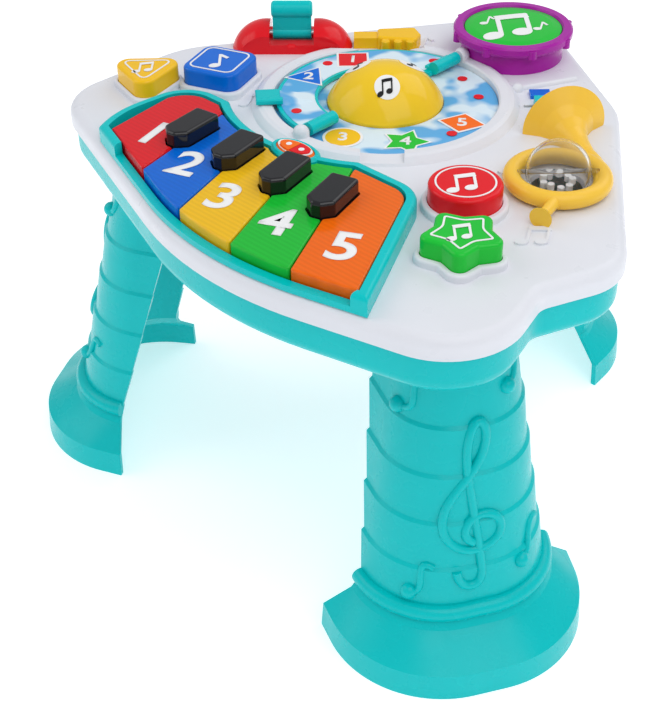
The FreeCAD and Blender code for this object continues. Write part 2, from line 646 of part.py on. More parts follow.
# Drum with lugs, head and rim
shell_profile = [(6.5, DECK_Z), (DRUM_SIDE, DECK_Z), (DRUM_SIDE, DECK_Z + 14), (DRUM_R - 1, DECK_Z + 15),
                 (DRUM_R, DECK_Z + 17), (DRUM_R, DRUM_TOP - 1.5), (DRUM_R - 1.5, DRUM_TOP),
                 (HEAD_R + 1.5, DRUM_TOP), (HEAD_R + 0.5, DRUM_TOP - 1.5), (HEAD_R + 0.5, DECK_Z + 3),
                 (6.5, DECK_Z + 3)]
drum = spun(shell_profile, *DRUM)
for i in range(8):
    lug = cyl(DRUM[0] + DRUM_R - 1.5, DRUM[1], DECK_Z + 14, DRUM_TOP - 2, 3.2)
    drum = drum.fuse(turned(lug, 45 * i + 12, *DRUM))
nodes["drum_rim"] = drum.cut(cyl(*DRUM, DECK_Z + 3, DRUM_TOP + 1, HEAD_R + 0.5)).removeSplitter()
head_profile = [(0, DRUM_TOP - 3.0), (HEAD_R, DRUM_TOP - 3.0), (HEAD_R, DRUM_TOP - 1.6), (HEAD_R - 6, DRUM_TOP - 0.4),
                (0, DRUM_TOP + 0.6)]
head = spun(head_profile, *DRUM).fuse(cyl(*DRUM, DECK_Z + 5, DRUM_TOP - 2, 5.0))
nodes["drum_head"] = head.removeSplitter()
nodes["drum_spring"] = ring(*DRUM, DECK_Z + 3, DRUM_TOP - 3, 9.0, 7.5)


# Guitar: body with two mounds, neck with pegs, and a strum flap on a pin
LOW = DECK_Z + 0.02
lobes = []
for sx in (-1, 1):
    mound = Part.makeSphere(26.0, at(sx * 19, 0, DECK_Z - 7))
    lobes.append(mound.common(box(-60, 60, -16, 18, LOW, DECK_Z + 40)))
waist = soften(box(-30, 30, -16, 18, LOW, DECK_Z + 7), DECK_Z + 7, 3.0)
body = lobes[0].fuse(lobes[1]).fuse(waist)
body = body.cut(box(-16, 16, -40, 40, DECK_Z + 7, DECK_Z + 40))
body = body.cut(box(-16, 16, -7, 7, DECK_Z + 4.5, DECK_Z + 8))
body = body.cut(cyl_dir(at(-21, 0, DECK_Z + 10), V(1, 0, 0), 42, PIN_R))
nodes["guitar_body"] = guitar_place(body.removeSplitter())
neck = box(45, 64, -6, 6, LOW, DECK_Z + 8)
head_plan = [(62, -8), (90, -12), (94, -2), (90, 10), (62, 8)]
neck = neck.fuse(soften(prism(rounded_polygon(head_plan, 3.0), LOW, DECK_Z + 10), DECK_Z + 10, 2.0))
for i in range(3):
    peg = cyl(68 + 9 * i, -11, DECK_Z + 2, DECK_Z + 9, 3.2)
    neck = neck.fuse(peg.makeChamfer(0.9, [peg.Edges[0]]))
nodes["guitar_neck"] = guitar_place(neck.removeSplitter())
blade = box(-14, 14, -3.2, 3.2, DECK_Z + 13, DECK_Z + 30)
grip = cyl_dir(at(-15, 0, DECK_Z + 28), V(1, 0, 0), 30, 6.0)
grip = grip.makeFillet(2.5, [grip.Edges[0], grip.Edges[2]])
hub = cyl_dir(at(-14, 0, DECK_Z + 10), V(1, 0, 0), 28, 4.6)
flap = blade.fuse(grip).fuse(hub)
flap = flap.cut(cyl_dir(at(-20, 0, DECK_Z + 10), V(1, 0, 0), 40, PIN_R + 0.05))
nodes["strum_flap"] = guitar_place(flap.removeSplitter())
nodes["strum_pin"] = guitar_place(cyl_dir(at(-20, 0, DECK_Z + 10), V(1, 0, 0), 40, PIN_R))


# Horn: flared bell, a loop round the bead ball, and a mouthpiece
def horn_tube(points, r0, r1):
    pts = [at(x, y, z) for x, y, z in points]
    curve = Part.BSplineCurve()
    curve.interpolate(pts)
    edge = curve.toShape()
    first = Part.Wire(Part.makeCircle(r0, pts[0], edge.tangentAt(edge.FirstParameter)))
    last = Part.Wire(Part.makeCircle(r1, pts[-1], edge.tangentAt(edge.LastParameter)))
    return Part.Wire(edge).makePipeShell([first, last], True, True)


HZ = DECK_Z + 6.0
AXIS_Z = DECK_Z + 3.0
BELL_TURN = 146.3
BELL_LEN = 38.0
loop = Part.makeTorus(28.0, 5.5, at(*BALL, HZ))
away = V(math.cos(math.radians(BELL_TURN)), math.sin(math.radians(BELL_TURN)), 0)
throat = at(*BELL, AXIS_Z) - away * BELL_LEN


def flare(wall):
    """The bell as a solid of revolution; wall is how far it stands in from the outside."""
    run = [(6.0, 0.0), (7.0, 10.0), (9.0, 19.0), (12.5, 26.0), (18.0, 32.0), (BELL_R, BELL_LEN)]
    pts = [V(0, 0, 0)] + [V(s, r - wall, 0) for r, s in run] + [V(BELL_LEN, 0, 0)]
    body = Part.Face(Part.makePolygon(pts + [pts[0]])).revolve(V(0, 0, 0), V(1, 0, 0), 360)
    body.rotate(V(0, 0, 0), V(0, 0, 1), BELL_TURN)
    body.translate(throat)
    return body


bell = flare(0.0).cut(flare(2.2))
bell = bell.fuse(Part.makeSphere(6.0, throat))
link = horn_tube([(throat.x, throat.y, AXIS_Z), (171, 19, AXIS_Z + 1), (186, -4, HZ)], 5.0, 5.0)
pipe = Part.makeCone(4.0, 3.4, 17.0, at(BALL[0] + 16, BALL[1] - 24, HZ), V(0.26, -1, 0))
cup = Part.makeCone(3.4, 7.0, 6.0, at(BALL[0] + 20.2, BALL[1] - 40.0, HZ), V(0.26, -1, 0))
horn = loop.fuse(bell).fuse(link).fuse(pipe).fuse(cup)
horn = horn.cut(box(0, 300, -200, 200, 0, DECK_Z + 0.02))
horn = horn.cut(Part.makeSphere(BALL_R + 1.0, at(*BALL, BALL_Z)))
AXLE = V(0.7071, 0.7071, 0)
ball_c = at(*BALL, BALL_Z)
horn = horn.cut(cyl_dir(ball_c - AXLE * 25, AXLE, 50, 1.5))
nodes["horn"] = horn.removeSplitter()
ball = Part.makeSphere(BALL_R, ball_c).cut(Part.makeSphere(BALL_R - 1.6, ball_c))
ball = ball.cut(cyl_dir(ball_c - AXLE * 30, AXLE, 60, 1.55))
nodes["bead_ball"] = ball.removeSplitter()
nodes["ball_axle"] = cyl_dir(ball_c - AXLE * 24.8, AXLE, 49.6, 1.5)
beads = []
for i in range(9):
    a = math.radians(40 * i)
    off = V(9.0 * math.cos(a), 9.0 * math.sin(a), -9.5 + 1.5 * (i % 2))
    beads.append(Part.makeCylinder(2.2, 3.8, ball_c + off))
nodes["beads"] = Part.makeCompound(beads)


# Volume knob and language badge on the deck
knob_v = turned(box(-6, 6, -4, 4, DECK_Z + 0.3, DECK_Z + 6), 44)
stem_v = turned(box(-3, 3, -1.2, 1.2, DECK_Z - 5, DECK_Z + 1), 44)
knob_v = knob_v.fuse(stem_v)
knob_v.translate(at(*SLIDER))
nodes["volume_knob"] = knob_v
badge = turned(soften(box(-7, 7, -5, 5, DECK_Z, DECK_Z + 3), DECK_Z + 3, 1.0), 44)
badge.translate(at(*BADGE))
nodes["number_badge"] = badge

for name, shape in nodes.items():
    shape.translate(at(0, STAND_Y))
    shape.exportStep("parts/" + name + ".step")
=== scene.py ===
"""Studio view of a toddler's musical activity table.

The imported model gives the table's solids; this script adds the printed numbers, note marks,
relief and finishes, and sets the floor, the lights and the camera. Lengths are in metres.
"""
from __future__ import annotations

import json
import logging
import math
from dataclasses import dataclass, field
from enum import Enum

import bpy
from mathutils import Matrix, Vector

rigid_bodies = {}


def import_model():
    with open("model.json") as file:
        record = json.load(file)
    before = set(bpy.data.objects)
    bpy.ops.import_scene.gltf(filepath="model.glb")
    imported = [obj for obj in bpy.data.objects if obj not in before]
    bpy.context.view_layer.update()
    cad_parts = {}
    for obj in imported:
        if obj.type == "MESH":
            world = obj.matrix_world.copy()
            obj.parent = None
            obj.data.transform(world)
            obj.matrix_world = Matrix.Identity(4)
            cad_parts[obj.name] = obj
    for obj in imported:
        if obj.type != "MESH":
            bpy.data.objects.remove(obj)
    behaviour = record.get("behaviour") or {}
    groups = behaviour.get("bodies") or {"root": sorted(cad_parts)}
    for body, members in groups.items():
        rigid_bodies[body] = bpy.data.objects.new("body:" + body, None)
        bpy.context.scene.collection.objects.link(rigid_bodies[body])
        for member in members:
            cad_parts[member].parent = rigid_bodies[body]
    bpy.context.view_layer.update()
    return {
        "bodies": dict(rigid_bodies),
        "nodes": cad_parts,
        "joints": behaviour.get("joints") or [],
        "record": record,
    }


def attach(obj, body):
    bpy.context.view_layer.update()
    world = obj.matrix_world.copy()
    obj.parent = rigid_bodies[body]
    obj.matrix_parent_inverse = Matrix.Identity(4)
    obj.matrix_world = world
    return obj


LOG = logging.getLogger("activity_table")
MM = 0.001
STAND_Y = -29.79 * MM
DECK_Z = 300 * MM
STRAY_Z = 360 * MM
PART_STEP = 0.05 * MM
PRINT_DEPTH = 0.3 * MM
THIN_WALL_IOR = 1.10
RIB_FADE = 0.32
RIB_SHADE = (0.72, 0.72, 0.72, 1)
GRAIN_DEPTH = 0.4 * MM
CLOUD_SCALE, GRAIN_SCALE, SMEAR_SCALE = 14.0, 1400.0, 60.0
SMOOTH_ANGLE = math.radians(30)


class Colour(Enum):
    """Moulded and printed colours of the table, in linear light."""

    TEAL = (0.0, 0.56, 0.57)
    WHITE = (0.78, 0.79, 0.84)
    RED = (0.80, 0.006, 0.014)
    BLUE = (0.0, 0.15, 0.70)
    YELLOW = (0.97, 0.56, 0.01)
    GOLD = (0.93, 0.60, 0.02)
    GREEN = (0.01, 0.55, 0.04)
    ORANGE = (1.0, 0.16, 0.003)
    PURPLE = (0.40, 0.012, 0.36)
    BLACK = (0.008, 0.008, 0.01)
    HORN = (0.95, 0.58, 0.06)
    SKY = (0.10, 0.42, 0.78)
    CLOUD = (0.72, 0.86, 0.95)
    INK_WHITE = (0.90, 0.90, 0.90)


@dataclass(frozen=True)
class Plastic:
    """A moulded plastic with its own gloss, grain and handling marks.

    Args:
        name: material name.
        colour: base colour.
        roughness: middle value of the gloss.
        grain: depth of the mould's fine grain, as bump strength.
        clear: how much light passes, from 0 to 1.
        glow: share of light scattered under the surface.
        ribs: spacing in metres of moulded ribs that show through, or 0.
        shine: strength of the mirror-like part of its reflection.
    """

    name: str
    colour: Colour
    roughness: float = 0.28
    grain: float = 0.04
    clear: float = 0.0
    glow: float = 0.05
    ribs: float = 0.0
    shine: float = 0.25

    def make(self) -> bpy.types.Material:
        """Builds the node material.

        Returns:
            The new material.
        """
        mat = bpy.data.materials.new(self.name)
        mat.use_nodes = True
        nodes, links = mat.node_tree.nodes, mat.node_tree.links
        shader = nodes["Principled BSDF"]
        place = nodes.new("ShaderNodeTexCoord")
        cloudy = self._noise(nodes, links, place, CLOUD_SCALE, 3.0)
        fine = self._noise(nodes, links, place, GRAIN_SCALE, 2.0)
        smear = self._noise(nodes, links, place, SMEAR_SCALE, 6.0)

        tint = nodes.new("ShaderNodeMix")
        tint.data_type = "RGBA"
        base = self.colour.value
        tint.inputs[6].default_value = (*[c * 0.94 for c in base], 1)
        tint.inputs[7].default_value = (*[min(1.0, c * 1.05) for c in base], 1)
        links.new(cloudy.outputs["Fac"], tint.inputs[0])
        colour_out = tint.outputs[2]
        if self.ribs > 0:
            colour_out = self._show_ribs(nodes, links, place, colour_out)
        links.new(colour_out, shader.inputs["Base Color"])

        gloss = nodes.new("ShaderNodeMapRange")
        gloss.inputs["From Min"].default_value = 0.3
        gloss.inputs["From Max"].default_value = 0.7
        gloss.inputs["To Min"].default_value = self.roughness * 0.75
        gloss.inputs["To Max"].default_value = self.roughness * 1.35
        links.new(smear.outputs["Fac"], gloss.inputs["Value"])
        links.new(gloss.outputs["Result"], shader.inputs["Roughness"])

        bump = nodes.new("ShaderNodeBump")
        bump.inputs["Strength"].default_value = self.grain
        bump.inputs["Distance"].default_value = GRAIN_DEPTH
        links.new(fine.outputs["Fac"], bump.inputs["Height"])
        links.new(bump.outputs["Normal"], shader.inputs["Normal"])
        shader.inputs["Specular IOR Level"].default_value = self.shine
        shader.inputs["Transmission Weight"].default_value = self.clear
        if self.clear > 0.5:
            shader.inputs["IOR"].default_value = THIN_WALL_IOR
        shader.inputs["Subsurface Weight"].default_value = self.glow
        shader.inputs["Subsurface Radius"].default_value = (0.004, 0.004, 0.004)
        return mat

    def _noise(self, nodes: bpy.types.Nodes, links: bpy.types.NodeLinks, place: bpy.types.Node,
               scale: float, detail: float) -> bpy.types.Node:
        """Adds one noise texture on object coordinates and returns its node."""
        noise = nodes.new("ShaderNodeTexNoise")
        noise.inputs["Scale"].default_value = scale
        noise.inputs["Detail"].default_value = detail
        links.new(place.outputs["Object"], noise.inputs["Vector"])
        return noise

    def _show_ribs(self, nodes: bpy.types.Nodes, links: bpy.types.NodeLinks, place: bpy.types.Node,
                   colour: bpy.types.NodeSocket) -> bpy.types.NodeSocket:
        """Darkens thin lines where inner ribs show through the plastic and returns the new colour."""
        wave = nodes.new("ShaderNodeTexWave")
        wave.bands_direction = "Y"
        wave.inputs["Scale"].default_value = 0.314 / self.ribs
        wave.inputs["Distortion"].default_value = 0.6
        links.new(place.outputs["Object"], wave.inputs["Vector"])
        mix = nodes.new("ShaderNodeMix")
        mix.data_type = "RGBA"
        mix.blend_type = "MULTIPLY"
        mix.inputs[7].default_value = RIB_SHADE
        fade = nodes.new("ShaderNodeMath")
        fade.operation = "MULTIPLY"
        fade.inputs[1].default_value = RIB_FADE
        links.new(wave.outputs["Fac"], fade.inputs[0])
        links.new(fade.outputs[0], mix.inputs[0])
        links.new(colour, mix.inputs[6])
        return mix.outputs[2]


@dataclass(frozen=True)
class Film:
    """Printed film with soft clouds over one ground colour."""

    name: str
    ground: Colour
    cloud: Colour
    roughness: float = 0.42
    scale: float = 38.0

    def make(self) -> bpy.types.Material:
        """Builds the node material and returns it."""
        mat = bpy.data.materials.new(self.name)
        mat.use_nodes = True
        nodes, links = mat.node_tree.nodes, mat.node_tree.links
        shader = nodes["Principled BSDF"]
        place = nodes.new("ShaderNodeTexCoord")
        noise = nodes.new("ShaderNodeTexNoise")
        noise.inputs["Scale"].default_value = self.scale
        noise.inputs["Detail"].default_value = 1.5
        links.new(place.outputs["Object"], noise.inputs["Vector"])
        edge = nodes.new("ShaderNodeMapRange")
        edge.inputs["From Min"].default_value = 0.50
        edge.inputs["From Max"].default_value = 0.60
        links.new(noise.outputs["Fac"], edge.inputs["Value"])
        mix = nodes.new("ShaderNodeMix")
        mix.data_type = "RGBA"
        mix.inputs[6].default_value = (*self.ground.value, 1)
        mix.inputs[7].default_value = (*self.cloud.value, 1)
        links.new(edge.outputs["Result"], mix.inputs[0])
        links.new(mix.outputs[2], shader.inputs["Base Color"])
        shader.inputs["Roughness"].default_value = self.roughness
        return mat


@dataclass(frozen=True)
class Metal:
    """Bright drawn or plated metal with a fine, uneven gloss."""

    name: str
    colour: tuple[float, float, float] = (0.6, 0.6, 0.62)
    roughness: float = 0.3

    def make(self) -> bpy.types.Material:
        """Builds the node material and returns it."""
        mat = bpy.data.materials.new(self.name)
        mat.use_nodes = True
        nodes, links = mat.node_tree.nodes, mat.node_tree.links
        shader = nodes["Principled BSDF"]
        shader.inputs["Base Color"].default_value = (*self.colour, 1)
        shader.inputs["Metallic"].default_value = 1.0
        place = nodes.new("ShaderNodeTexCoord")
        noise = nodes.new("ShaderNodeTexNoise")
        noise.inputs["Scale"].default_value = 900.0
        links.new(place.outputs["Object"], noise.inputs["Vector"])
        gloss = nodes.new("ShaderNodeMapRange")
        gloss.inputs["To Min"].default_value = self.roughness * 0.7
        gloss.inputs["To Max"].default_value = self.roughness * 1.4
        links.new(noise.outputs["Fac"], gloss.inputs["Value"])
        links.new(gloss.outputs["Result"], shader.inputs["Roughness"])
        return mat


TEAL = Plastic("teal_shell", Colour.TEAL, 0.26, 0.05, glow=0.0, shine=0.2)
WHITE = Plastic("white_shell", Colour.WHITE, 0.34, 0.05)
RED = Plastic("red_gloss", Colour.RED, 0.16, 0.02)
BLUE = Plastic("blue_gloss", Colour.BLUE, 0.18, 0.02)
YELLOW = Plastic("yellow_gloss", Colour.YELLOW, 0.16, 0.02)
GREEN = Plastic("green_gloss", Colour.GREEN, 0.18, 0.02)
ORANGE = Plastic("orange_gloss", Colour.ORANGE, 0.18, 0.02)
PURPLE = Plastic("purple_gloss", Colour.PURPLE, 0.22, 0.03)
BLACK = Plastic("black_gloss", Colour.BLACK, 0.10, 0.01, shine=0.45)
GOLD = Plastic("dome_gold", Colour.GOLD, 0.13, 0.02)
HORN = Plastic("horn_gloss", Colour.HORN, 0.22, 0.03)
INK = Plastic("white_ink", Colour.INK_WHITE, 0.45, 0.02, glow=0.0)
RED_INK = Plastic("red_ink", Colour.RED, 0.4, 0.02, glow=0.0)
BLUE_INK = Plastic("blue_ink", Colour.BLUE, 0.4, 0.02, glow=0.0)
YELLOW_INK = Plastic("yellow_ink", Colour.YELLOW, 0.4, 0.02, glow=0.0)
GREEN_INK = Plastic("green_ink", Colour.GREEN, 0.4, 0.02, glow=0.0)
ORANGE_INK = Plastic("orange_ink", Colour.ORANGE, 0.4, 0.02, glow=0.0)
BLACK_INK = Plastic("black_ink", Colour.BLACK, 0.4, 0.02, glow=0.0)
SKY_FILM = Film("sky_film", Colour.SKY, Colour.CLOUD)
KEY_FINISHES = [Plastic("key_red", Colour.RED, 0.15, 0.02, 0.05, 0.25, 0.0035),
                Plastic("key_blue", Colour.BLUE, 0.15, 0.02, 0.05, 0.25, 0.0035),
                Plastic("key_yellow", Colour.YELLOW, 0.15, 0.02, 0.05, 0.25, 0.0035),
                Plastic("key_green", Colour.GREEN, 0.15, 0.02, 0.05, 0.25, 0.0035),
                Plastic("key_orange", Colour.ORANGE, 0.15, 0.02, 0.05, 0.25, 0.0035)]
CLEAR = Plastic("clear_ball", Colour.INK_WHITE, 0.04, 0.0, 0.97, 0.0)
BEAD = Plastic("bead_white", Colour.INK_WHITE, 0.3, 0.02)
STEEL = Metal("steel_pin")
BRASS = Metal("contact_brass", (0.70, 0.50, 0.22), 0.28)
RUBBER = Plastic("pad_rubber", Colour.CLOUD, 0.6, 0.1)
BOARD = Plastic("board_green", Colour.GREEN, 0.5, 0.06)
CONE = Plastic("speaker_paper", Colour.BLACK, 0.7, 0.2)


class Paintbox:
    """Keeps one material per finish."""

    def __init__(self) -> None:
        """Starts with no material made."""
        self._made: dict[str, bpy.types.Material] = {}

    def get(self, finish: Plastic | Metal) -> bpy.types.Material:
        """The material of a finish, made on first use."""
        if finish.name not in self._made:
            self._made[finish.name] = finish.make()
        return self._made[finish.name]

    def dress(self, obj: bpy.types.Object, finish: Plastic | Metal) -> None:
        """Gives all of an object's slots one finish."""
        mat = self.get(finish)
        if not obj.material_slots:
            obj.data.materials.append(mat)
        for slot in obj.material_slots:
            slot.link = "OBJECT"
            slot.material = mat


def deselect() -> None:
    """Clears the selection."""
    bpy.ops.object.select_all(action="DESELECT")


def only(obj: bpy.types.Object) -> None:
    """Selects one object and makes it active."""
    deselect()
    obj.select_set(True)
    bpy.context.view_layer.objects.active = obj


def settle(obj: bpy.types.Object, name: str) -> bpy.types.Object:
    """Names a finished piece and puts its place into its mesh."""
    only(obj)
    bpy.ops.object.transform_apply(location=True, rotation=True, scale=True)
    obj.name = name
    obj.data.name = name
    return obj


def join(parts: list[bpy.types.Object], name: str) -> bpy.types.Object:
    """Joins meshes into one named piece."""
    deselect()
    for part in parts:
        part.select_set(True)
    bpy.context.view_layer.objects.active = parts[0]
    if len(parts) > 1:
        bpy.ops.object.join()
    return settle(parts[0], name)


def flat_ngon(sides: int, radius: float, turn: float = 0.0, stretch: float = 1.0) -> bpy.types.Object:
    """A filled regular outline lying flat at the origin."""
    deselect()
    bpy.ops.mesh.primitive_circle_add(vertices=sides, radius=radius, fill_type="NGON",
                                      location=(0, 0, 0), rotation=(0, 0, turn))
    obj = bpy.context.object
    obj.scale = (1, stretch, 1)
    return settle(obj, "outline")


def flat_star(points: int, radius: float, waist: float, turn: float = 0.0) -> bpy.types.Object:
    """A filled star lying flat at the origin.

    Args:
        points: number of tips.
        radius: reach of the tips.
        waist: reach of the inner corners as a share of radius.
        turn: angle of the first tip.

    Returns:
        The flat star.
    """
    star = flat_ngon(points * 2, radius)
    bpy.ops.object.mode_set(mode="EDIT")
    bpy.ops.mesh.select_all(action="DESELECT")
    bpy.ops.object.mode_set(mode="OBJECT")
    for i, vert in enumerate(star.data.vertices):
        vert.select = i % 2 == 1
    bpy.ops.object.mode_set(mode="EDIT")
    bpy.context.tool_settings.mesh_select_mode = (True, False, False)
    bpy.ops.transform.resize(value=(waist, waist, 1), center_override=(0, 0, 0))
    bpy.ops.object.mode_set(mode="OBJECT")
    star.rotation_euler = (0, 0, turn)
    return settle(star, "star")


def flat_bar(x0: float, y0: float, x1: float, y1: float, width: float) -> bpy.types.Object:
    """A filled flat strip between two points."""
    deselect()
    length = math.hypot(x1 - x0, y1 - y0)
    bpy.ops.mesh.primitive_plane_add(size=1, location=((x0 + x1) / 2, (y0 + y1) / 2, 0),
                                     rotation=(0, 0, math.atan2(y1 - y0, x1 - x0)))
    bar = bpy.context.object
    bar.scale = (length, width, 1)
    return settle(bar, "bar")


def flat_ring(radius: float, width: float, sides: int = 48, turn: float = 0.0) -> bpy.types.Object:
    """A flat open ring, made by insetting a filled outline and dropping its middle."""
    ring = flat_ngon(sides, radius, turn)
    bpy.ops.object.mode_set(mode="EDIT")
    bpy.context.tool_settings.mesh_select_mode = (False, False, True)
    bpy.ops.mesh.select_all(action="SELECT")
    bpy.ops.mesh.inset(thickness=width)
    bpy.ops.mesh.delete(type="FACE")
    bpy.ops.object.mode_set(mode="OBJECT")
    return settle(ring, "ring")


def note(size: float, twin: bool) -> bpy.types.Object:
    """A quaver, or a beamed pair of quavers, lying flat about the origin.

    Each part sits a hair above the last, so that no two faces share a level.
    """
    parts = []
    gap = size * 0.55
    stems = (-gap / 2, gap / 2) if twin else (0.0,)
    for x in stems:
        head = flat_ngon(20, size * 0.2, 0.0, 0.72)
        head.rotation_euler = (0, 0, 0.35)
        head.location = (x - size * 0.15, -size * 0.42 + x * 0.25, 0)
        parts.append(settle(head, "head"))
        parts.append(flat_bar(x, -size * 0.4 + x * 0.25, x, size * 0.42 + x * 0.25, size * 0.09))
    if twin:
        parts.append(flat_bar(-gap / 2 - size * 0.04, size * 0.34 - gap * 0.125,
                              gap / 2 + size * 0.04, size * 0.34 + gap * 0.125, size * 0.2))
    else:
        parts.append(flat_bar(0, size * 0.38, size * 0.26, size * 0.12, size * 0.12))
    for i, part in enumerate(parts):
        part.location.z = i * PART_STEP
        settle(part, part.name)
    return join(parts, "note")


def place(obj: bpy.types.Object, x: float, y: float, z: float, turn: float = 0.0) -> bpy.types.Object:
    """Turns a flat piece about the vertical and moves it to its place."""
    obj.rotation_euler = (0, 0, turn)
    obj.location = (x, y, z)
    return settle(obj, obj.name)


def thicken(obj: bpy.types.Object, depth: float) -> None:
    """Gives a flat piece a thickness below and above its sheet."""
    only(obj)
    solid = obj.modifiers.new("thickness", "SOLIDIFY")
    solid.thickness = depth
    solid.offset = 0.0
    bpy.ops.object.modifier_apply(modifier=solid.name)


def lay_on(obj: bpy.types.Object, target: bpy.types.Object, lift: float, cuts: int = 2,
           depth: float = PRINT_DEPTH) -> None:
    """Drops a flat piece straight down onto a curved face and thickens it.

    Args:
        obj: the flat piece, above its place; small steps in its height are kept.
        target: what it lies on.
        lift: height of the print above the face.
        cuts: how finely the piece is divided so that it follows the face.
        depth: thickness of the finished piece.
    """
    only(obj)
    bpy.ops.object.mode_set(mode="EDIT")
    bpy.ops.mesh.select_all(action="SELECT")
    bpy.ops.mesh.quads_convert_to_tris()
    for _ in range(cuts):
        bpy.ops.mesh.subdivide()
    bpy.ops.object.mode_set(mode="OBJECT")
    base = min(vert.co.z for vert in obj.data.vertices)
    steps = [vert.co.z - base for vert in obj.data.vertices]
    wrap = obj.modifiers.new("drop", "SHRINKWRAP")
    wrap.wrap_method = "PROJECT"
    wrap.use_project_z = True
    wrap.use_negative_direction = True
    wrap.use_positive_direction = False
    wrap.target = target
    wrap.offset = lift
    bpy.ops.object.modifier_apply(modifier=wrap.name)
    landed = sorted(vert.co.z for vert in obj.data.vertices if vert.co.z < STRAY_Z)
    for vert, step in zip(obj.data.vertices, steps):
        if landed and vert.co.z >= STRAY_Z:
            vert.co.z = landed[len(landed) // 2]
        vert.co.z += step
    thicken(obj, depth)


def numeral(text: str, size: float) -> bpy.types.Object:
    """A bold flat numeral centred on the origin."""
    deselect()
    bpy.ops.object.text_add(location=(0, 0, 0))
    obj = bpy.context.object
    obj.data.body = text
    obj.data.size = size
    obj.data.align_x = "CENTER"
    obj.data.align_y = "CENTER"
    obj.data.offset = size * 0.022
    only(obj)
    bpy.ops.object.convert(target="MESH")
    return settle(bpy.context.object, "numeral")


def tube(points: list[Vector], radius: float, name: str) -> bpy.types.Object:
    """A round bead of plastic along smooth points."""
    deselect()
    bpy.ops.curve.primitive_nurbs_path_add(location=(0, 0, 0))
    obj = bpy.context.object
    spline = obj.data.splines[0]
    spline.points.add(len(points) - len(spline.points))
    for cv, p in zip(spline.points, points):
        cv.co = (*p, 1.0)
    spline.use_endpoint_u = True
    spline.order_u = 4
    obj.data.resolution_u = 6
    obj.data.bevel_depth = radius
    obj.data.bevel_resolution = 3
    obj.data.use_fill_caps = True
    only(obj)
    bpy.ops.object.convert(target="MESH")
    obj = bpy.context.object
    bpy.ops.object.shade_smooth()
    return settle(obj, name)


@dataclass
class Printer:
    """Lays printed marks on the solids and hangs each on its body."""

    frame: dict
    paint: Paintbox
    made: int = 0

    def stamp(self, obj: bpy.types.Object, name: str, node: str, body: str, finish: Plastic,
              lift: float = 0.00025, cuts: int = 2, depth: float = PRINT_DEPTH) -> None:
        """Drops a flat mark on a node's upper face, colours it and lets it ride.

        Args:
            obj: the flat mark above its place.
            name: the piece's name.
            node: CAD node that it lies on.
            body: CAD body that it moves with.
            finish: its ink.
            lift: height above the face.
            cuts: fineness of the fit.
            depth: thickness of the mark.
        """
        obj.location.z += 0.1
        settle(obj, name)
        lay_on(obj, self.frame["nodes"][node], lift, cuts, depth)
        self.attach(obj, body, finish)

    def attach(self, obj: bpy.types.Object, body: str, finish: Plastic | Metal) -> None:
        """Colours a finished piece and lets it ride."""
        self.paint.dress(obj, finish)
        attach(obj, body)
        self.made += 1
        LOG.info("piece %s rides on %s", obj.name, body)


@dataclass
class Keyboard:
    """Numbered colour keys."""

    printer: Printer
    mids: tuple[float, ...] = (-57.0, -11.0, 35.0, 79.0, 125.0)
    number_ys: tuple[float, ...] = (-147.0, -159.0, -170.0, -168.0, -161.0)
    number_size: float = 0.040
    number_turns: tuple[float, ...] = (16.0, 20.0, 22.0, 26.0, 28.0)
    mode_at: tuple[float, float] = (26.0, -101.0)

    def dress(self) -> None:
        """Colours the keys, black keys, frame and mode button, and adds the numbers."""
        nodes, paint = self.printer.frame["nodes"], self.printer.paint
        for i, finish in enumerate(KEY_FINISHES):
            key = "key_%d" % (i + 1)
            paint.dress(nodes[key], finish)
            mark = numeral(str(i + 1), self.number_size)
            place(mark, self.mids[i] * MM, self.number_ys[i] * MM + STAND_Y, DECK_Z,
                  math.radians(self.number_turns[i]))
            self.printer.stamp(mark, "number_" + str(i + 1), key, key, INK, 0.0003, 2)
        paint.dress(nodes["black_keys"], BLACK)
        paint.dress(nodes["keyboard_frame"], TEAL)
        paint.dress(nodes["key_rod"], STEEL)
        paint.dress(nodes["mode_button"], ORANGE)
        self._mode_face()

    def _mode_face(self) -> None:
        """White edge, two coloured halves and two small dots on the mode button."""
        x, y = self.mode_at[0] * MM, self.mode_at[1] * MM + STAND_Y
        edge = flat_ngon(48, 0.0136, 0.0, 0.52)
        place(edge, x, y, DECK_Z)
        self.printer.stamp(edge, "mode_edge", "mode_button", "mode_button", INK, 0.0002, 0)
        for side, ink in ((-1, ORANGE_INK), (1, RED_INK)):
            half = flat_ngon(48, 0.0120, 0.0, 0.48)
            bpy.ops.object.mode_set(mode="EDIT")
            bpy.ops.mesh.select_all(action="SELECT")
            bpy.ops.mesh.bisect(plane_co=(side * 0.0003, 0, 0), plane_no=(-side, 0, 0), clear_outer=True)
            bpy.ops.object.mode_set(mode="OBJECT")
            place(half, x, y, DECK_Z)
            name = "mode_half_right" if side > 0 else "mode_half_left"
            self.printer.stamp(half, name, "mode_button", "mode_button", ink, 0.0004, 0)
            dot = flat_ngon(20, 0.0019)
            place(dot, x + side * 0.0055, y, DECK_Z)
            self.printer.stamp(dot, name + "_dot", "mode_button", "mode_button", INK, 0.0006, 0)


